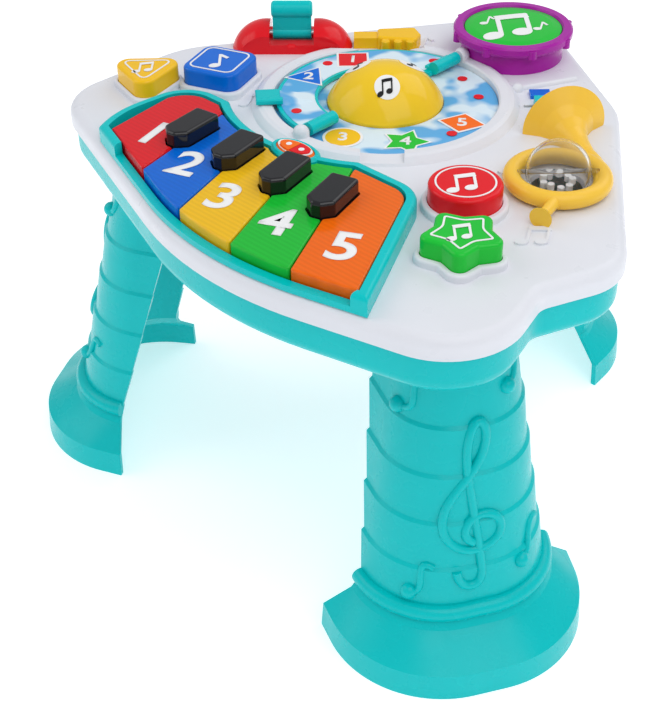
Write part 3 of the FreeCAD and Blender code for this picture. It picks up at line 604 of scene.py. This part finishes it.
@dataclass
class Buttons:
    """Four instrument buttons with their white outline rings and marks."""

    printer: Printer
    places: dict[str, tuple[float, float]] = field(default_factory=lambda: {
        "button_triangle": (-127.0, -94.0), "button_square": (-98.0, -52.0),
        "button_round": (134.0, -66.0), "button_star": (168.0, -110.0)})
    line: float = 0.0012
    note_sizes: dict[str, float] = field(default_factory=lambda: {
        "button_triangle": 0.015, "button_square": 0.021, "button_round": 0.020, "button_star": 0.016})

    def dress(self) -> None:
        """Colours the buttons and lays their rings and notes."""
        nodes, paint = self.printer.frame["nodes"], self.printer.paint
        inks = {"button_triangle": YELLOW, "button_square": BLUE, "button_round": RED, "button_star": GREEN}
        for name, finish in inks.items():
            paint.dress(nodes[name], finish)
            x, y = (v * MM for v in self.places[name])
            y += STAND_Y
            ring = self._outline(name)
            place(ring, x, y, DECK_Z)
            self.printer.stamp(ring, name + "_ring", name, name, INK, cuts=1)
            mark = note(self.note_sizes[name], name != "button_square")
            place(mark, x, y, DECK_Z, math.radians(45))
            self.printer.stamp(mark, name + "_note", name, name, INK)

    def _outline(self, name: str) -> bpy.types.Object:
        """The thin printed line that follows a button's edge."""
        if name == "button_round":
            return flat_ring(0.0185, 0.0011)
        if name == "button_triangle":
            return self._hollow(flat_ngon(3, 0.0215, math.radians(-15)), 0.0078)
        if name == "button_square":
            return self._hollow(flat_ngon(4, 0.0240, math.radians(-25)), 0.0060)
        return self._hollow(flat_star(5, 0.0195, 0.64, 0.0), 0.0022)

    def _hollow(self, outline: bpy.types.Object, corner: float) -> bpy.types.Object:
        """Rounds a filled outline's corners and leaves only a thin line along its edge."""
        only(outline)
        bpy.ops.object.mode_set(mode="EDIT")
        bpy.context.tool_settings.mesh_select_mode = (False, False, True)
        bpy.ops.mesh.select_all(action="SELECT")
        bpy.ops.mesh.bevel(affect="VERTICES", offset=corner, segments=6)
        bpy.ops.mesh.select_all(action="SELECT")
        bpy.ops.mesh.inset(thickness=self.line)
        bpy.ops.mesh.delete(type="FACE")
        bpy.ops.object.mode_set(mode="OBJECT")
        return outline


@dataclass
class PagePrint:
    """Sky, clouds and numbered shapes on the disc and on the flipping page."""

    printer: Printer
    centre: tuple[float, float] = (5.5 * MM, 4.7 * MM + STAND_Y)
    reach: float = 0.060

    def dress(self) -> None:
        """Colours the disc, page and dome and lays the prints."""
        nodes, paint = self.printer.frame["nodes"], self.printer.paint
        paint.dress(nodes["base_print"], SKY_FILM)
        paint.dress(nodes["flip_page"], TEAL)
        paint.dress(nodes["light_dome"], GOLD)
        for pin in ("page_pin_front", "page_pin_back"):
            paint.dress(nodes[pin], STEEL)
        self._page_sky()
        marks = [(155, 1, "diamond", RED_INK, True), (195, 2, "triangle", BLUE_INK, True),
                 (285, 3, "round", YELLOW_INK, False), (325, 4, "star", GREEN_INK, False),
                 (10, 5, "square", ORANGE_INK, False)]
        for angle, number, shape, ink, on_page in marks:
            self._shape(angle, number, shape, ink, on_page)
        for i, angle in enumerate((100, 172, 245, 48, 75, 355)):
            self._ball(angle, 0.0035, 95 < angle < 265)
        for i in range(3):
            self._dome_mark(i)

    def _spot(self, angle: float, reach: float) -> tuple[float, float]:
        """A place on the print at an angle in degrees and a distance from its centre."""
        a = math.radians(angle)
        return self.centre[0] + reach * math.cos(a), self.centre[1] + reach * math.sin(a)

    def _sheet(self, on_page: bool) -> tuple[str, str]:
        """Node and body that carry a mark."""
        return ("flip_page", "flip_page") if on_page else ("base_print", "housing")

    def _page_sky(self) -> None:
        """The blue half ring printed on the page, inside its teal edge."""
        ring = flat_ring(0.0715, 0.0235, 96)
        bpy.ops.object.mode_set(mode="EDIT")
        bpy.ops.mesh.select_all(action="SELECT")
        bpy.ops.mesh.bisect(plane_co=(-0.0065, 0, 0), plane_no=(1, 0, 0), clear_outer=True)
        bpy.ops.object.mode_set(mode="OBJECT")
        place(ring, *self.centre, DECK_Z)
        self.printer.stamp(ring, "page_sky", "flip_page", "flip_page", SKY_FILM, 0.0002, 0)

    def _shape(self, angle: float, number: int, shape: str, ink: Plastic, on_page: bool) -> None:
        """One coloured shape with its white number."""
        x, y = self._spot(angle, self.reach)
        node, body = self._sheet(on_page)
        makers = {"diamond": lambda: flat_ngon(4, 0.0140), "triangle": lambda: flat_ngon(3, 0.0150, 0.3),
                  "round": lambda: flat_ngon(32, 0.0115), "star": lambda: flat_star(5, 0.0150, 0.55, 0.4),
                  "square": lambda: flat_ngon(4, 0.0145, math.radians(30), 0.85)}
        edge = makers[shape]()
        edge.scale = (1.16, 1.16, 1)
        place(edge, x, y, DECK_Z)
        self.printer.stamp(edge, "shape_edge_%d" % number, node, body, INK, 0.0004, 1)
        patch = makers[shape]()
        place(patch, x, y, DECK_Z)
        self.printer.stamp(patch, "shape_%d" % number, node, body, ink, 0.0006, 1)
        mark = numeral(str(number), 0.015)
        place(mark, x, y, DECK_Z, math.radians(40))
        self.printer.stamp(mark, "shape_number_%d" % number, node, body, INK, 0.0008, 1)

    def _ball(self, angle: float, size: float, on_page: bool) -> None:
        """A small red ball."""
        ball = flat_ngon(20, size)
        place(ball, *self._spot(angle, 0.064), DECK_Z)
        node, body = self._sheet(on_page)
        self.printer.stamp(ball, "ball_%d" % angle, node, body, RED_INK, 0.0005, 0)

    def _dome_mark(self, index: int) -> None:
        """A black note in a white ring on the dome."""
        angle = -45 + 120 * index
        x, y = self._spot(angle, 0.021)
        patch = flat_ngon(32, 0.0085)
        place(patch, x, y, DECK_Z)
        self.printer.stamp(patch, "dome_patch_%d" % index, "light_dome", "housing", INK, 0.0003, 2)
        mark = note(0.011, index == 0)
        place(mark, x, y, DECK_Z, math.radians(45))
        self.printer.stamp(mark, "dome_note_%d" % index, "light_dome", "housing", BLACK_INK, 0.0006, 2)


@dataclass
class Instruments:
    """Drum, guitar, horn, ball and sliders."""

    printer: Printer
    drum: tuple[float, float] = (20 * MM, 124 * MM + STAND_Y)

    def dress(self) -> None:
        """Colours the instruments and lays the drum's notes."""
        nodes, paint = self.printer.frame["nodes"], self.printer.paint
        for node, finish in {"drum_rim": PURPLE, "drum_head": GREEN, "drum_spring": STEEL,
                             "guitar_body": RED, "guitar_neck": YELLOW, "strum_flap": TEAL,
                             "strum_pin": STEEL, "horn": HORN, "bead_ball": CLEAR, "beads": BEAD,
                             "ball_axle": CLEAR, "volume_knob": TEAL, "number_badge": BLUE}.items():
            paint.dress(nodes[node], finish)
        big = note(0.038, True)
        place(big, self.drum[0], self.drum[1], DECK_Z, math.radians(45))
        self.printer.stamp(big, "drum_notes", "drum_head", "drum_head", INK)
        for i, (dx, dy) in enumerate(((-0.018, -0.006), (0.016, 0.012))):
            small = note(0.015, False)
            place(small, self.drum[0] + dx, self.drum[1] + dy, DECK_Z, math.radians(30))
            self.printer.stamp(small, "drum_note_%d" % i, "drum_head", "drum_head", INK)


@dataclass
class Stand:
    """Legs with their raised clef and notes, and the tub."""

    printer: Printer
    angles: dict[str, float] = field(default_factory=lambda: {
        "leg_left": 210.0, "leg_right": 330.0, "leg_back": 90.0})
    clef_route: tuple[tuple[float, float], ...] = (
        (-14, 78), (-13, 68), (-3, 63), (4, 70), (3, 84), (-1, 118), (-7, 158), (-4, 180), (3, 188),
        (8, 178), (5, 160), (-6, 146), (-20, 128), (-24, 108), (-14, 94), (2, 90), (17, 98),
        (18, 112), (6, 120), (-8, 114), (-9, 102), (-2, 98))
    leg_notes: tuple[tuple[float, float], ...] = ((-34, 200), (30, 214), (-36, 72), (40, 84))
    deck_notes: tuple[tuple[float, float, float, bool], ...] = (
        (-38, 96, 0.020, False), (124, -24, 0.017, False), (186, -62, 0.020, True),
        (-62, -58, 0.017, False), (-134, -28, 0.016, True))
    clef_r: float = 3.2 * MM
    stem_r: float = 2.4 * MM
    head_r: float = 5.6 * MM

    def dress(self) -> None:
        """Colours the stand and housing and lays the relief on each leg."""
        nodes, paint = self.printer.frame["nodes"], self.printer.paint
        for leg in self.angles:
            paint.dress(nodes[leg], TEAL)
            self._clef(leg)
        for node, finish in {"base_tub": TEAL, "deck_top": WHITE, "battery_door": TEAL,
                             "door_screw": STEEL, "housing_screws": STEEL, "battery_contacts": BRASS,
                             "batteries": STEEL, "speaker": CONE, "circuit_board": BOARD,
                             "switch_boards": BOARD, "switch_pads": RUBBER, "latch_left": TEAL,
                             "latch_right": TEAL, "latch_back": TEAL, "latch_spring_left": STEEL,
                             "latch_spring_right": STEEL, "latch_spring_back": STEEL}.items():
            paint.dress(nodes[node], finish)
        self._deck_notes()

    def _deck_notes(self) -> None:
        """Raised white notes moulded between the instruments."""
        for i, (x, y, size, twin) in enumerate(self.deck_notes):
            mark = note(size, twin)
            place(mark, x * MM, y * MM + STAND_Y, DECK_Z, math.radians(30))
            self.printer.stamp(mark, "deck_note_%d" % i, "deck_top", "housing", WHITE, 0.0005, 1, 0.0014)

    def _on_leg(self, leg: str, y: float, z: float) -> Vector:
        """The point of a leg's front at a sideways offset and a height, found on the solid."""
        angle = math.radians(self.angles[leg])
        out = Vector((math.cos(angle), math.sin(angle), 0))
        side = Vector((-out.y, out.x, 0))
        start = out * 0.35 + side * y + Vector((0, STAND_Y, z))
        hit, where, _, _ = self.printer.frame["nodes"][leg].ray_cast(start, -out)
        return where if hit else start - out * 0.12

    def _clef(self, leg: str) -> None:
        """Raised clef swept over the leg's front."""
        points = [self._on_leg(leg, x * MM, z * MM) for x, z in self.clef_route]
        clef = tube(points, self.clef_r, leg + "_clef")
        self.printer.attach(clef, "housing", TEAL)
        for i, (x, z) in enumerate(self.leg_notes):
            self._leg_note(leg, i, x, z)

    def _leg_note(self, leg: str, index: int, x: float, z: float) -> None:
        """A small raised quaver on a leg."""
        route = [(x - 7, z - 12), (x - 1, z - 12), (x, z), (x + 1, z + 13), (x + 8, z + 8)]
        points = [self._on_leg(leg, a * MM, b * MM) for a, b in route]
        stem = tube(points, self.stem_r, "stem")
        bpy.ops.mesh.primitive_uv_sphere_add(segments=20, ring_count=10, radius=self.head_r,
                                             location=points[0])
        head = bpy.context.object
        bpy.ops.object.shade_smooth()
        mark = join([stem, settle(head, "head")], "%s_note_%d" % (leg, index))
        self.printer.attach(mark, "housing", TEAL)


@dataclass
class Studio:
    """Floor, lights and camera."""

    eye: tuple[float, float, float] = (0.5673, -0.6500, 0.7162)
    heading: float = 45.0
    tilt: float = 37.1
    roll: float = -0.9
    focal_px: float = 1352.0
    frame_px: tuple[float, float] = (645.0, 720.0)
    offset_px: tuple[float, float] = (1.2, -1.6)
    lamps: tuple[tuple[tuple[float, float, float], float, float], ...] = (
        ((0.9, -0.3, 1.6), 1.4, 11.0), ((-1.1, -0.9, 1.3), 1.2, 6.0), ((0.2, 1.2, 1.5), 1.2, 5.5))
    lamp_target: tuple[float, float, float] = (0.0, 0.0, 0.2)
    floor_size: float = 30.0
    floor_glow: float = 0.50
    sky_strength: float = 0.50

    def build(self) -> None:
        """Adds the floor, world, lamps and camera."""
        self._floor()
        self._world()
        for where, size, power in self.lamps:
            self._lamp(Vector(where), size, power)
        self._camera()

    def _floor(self) -> None:
        """A wide pale floor that glows a little, so that it stays white."""
        deselect()
        bpy.ops.mesh.primitive_plane_add(size=self.floor_size, location=(0, 0, 0))
        floor = bpy.context.object
        floor.name = "studio_floor"
        mat = bpy.data.materials.new("studio_paper")
        mat.use_nodes = True
        shader = mat.node_tree.nodes["Principled BSDF"]
        shader.inputs["Base Color"].default_value = (0.86, 0.87, 0.89, 1)
        shader.inputs["Roughness"].default_value = 0.9
        shader.inputs["Specular IOR Level"].default_value = 0.1
        shader.inputs["Emission Color"].default_value = (1, 1, 1, 1)
        shader.inputs["Emission Strength"].default_value = self.floor_glow
        floor.data.materials.append(mat)

    def _world(self) -> None:
        """Even white surroundings."""
        world = bpy.data.worlds.new("studio_world")
        world.use_nodes = True
        nodes, links = world.node_tree.nodes, world.node_tree.links
        back = nodes["Background"]
        path = nodes.new("ShaderNodeLightPath")
        plain = nodes.new("ShaderNodeBackground")
        plain.inputs["Strength"].default_value = 1.0
        plain.inputs["Color"].default_value = (1, 1, 1, 1)
        back.inputs["Color"].default_value = (0.95, 0.97, 1, 1)
        back.inputs["Strength"].default_value = self.sky_strength
        mix = nodes.new("ShaderNodeMixShader")
        links.new(path.outputs["Is Camera Ray"], mix.inputs[0])
        links.new(back.outputs[0], mix.inputs[1])
        links.new(plain.outputs[0], mix.inputs[2])
        links.new(mix.outputs[0], nodes["World Output"].inputs["Surface"])
        bpy.context.scene.world = world

    def _lamp(self, where: Vector, size: float, power: float) -> None:
        """A soft square lamp aimed at the table."""
        deselect()
        bpy.ops.object.light_add(type="AREA", location=where)
        lamp = bpy.context.object
        lamp.data.size = size
        lamp.data.energy = power
        lamp.rotation_euler = (Vector(self.lamp_target) - where).to_track_quat("-Z", "Y").to_euler()

    def _camera(self) -> None:
        """The photograph's camera."""
        data = bpy.data.cameras.new("studio_camera")
        cam = bpy.data.objects.new("studio_camera", data)
        bpy.context.collection.objects.link(cam)
        yaw, pitch = math.radians(self.heading), math.radians(self.tilt)
        ahead = Vector((-math.sin(yaw) * math.cos(pitch), math.cos(yaw) * math.cos(pitch), -math.sin(pitch)))
        right = Vector((math.cos(yaw), math.sin(yaw), 0))
        up = right.cross(ahead)
        lean = math.radians(self.roll)
        right, up = (right * math.cos(lean) + up * math.sin(lean),
                     up * math.cos(lean) - right * math.sin(lean))
        turn = Matrix((right, up, -ahead)).transposed()
        cam.matrix_world = Matrix.Translation(self.eye) @ turn.to_4x4()
        long_side = max(self.frame_px)
        data.sensor_width = 36.0
        data.lens = self.focal_px / long_side * data.sensor_width
        data.shift_x = -self.offset_px[0] / long_side
        data.shift_y = self.offset_px[1] / long_side
        data.clip_start, data.clip_end = 0.01, 60.0
        bpy.context.scene.camera = cam
        bpy.context.scene.view_settings.view_transform = "Standard"


def main() -> None:
    """Builds and dresses the table, then the studio."""
    logging.basicConfig(level=logging.INFO, format="%(message)s")
    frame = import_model()
    printer = Printer(frame, Paintbox())
    for group in (Stand(printer), Keyboard(printer), Buttons(printer), PagePrint(printer),
                  Instruments(printer)):
        group.dress()
        LOG.info("%s done, %d pieces so far", type(group).__name__, printer.made)
    for node in frame["nodes"].values():
        only(node)
        bpy.ops.object.shade_smooth_by_angle(angle=SMOOTH_ANGLE)
    Studio().build()


if __name__ == "__main__":
    main()
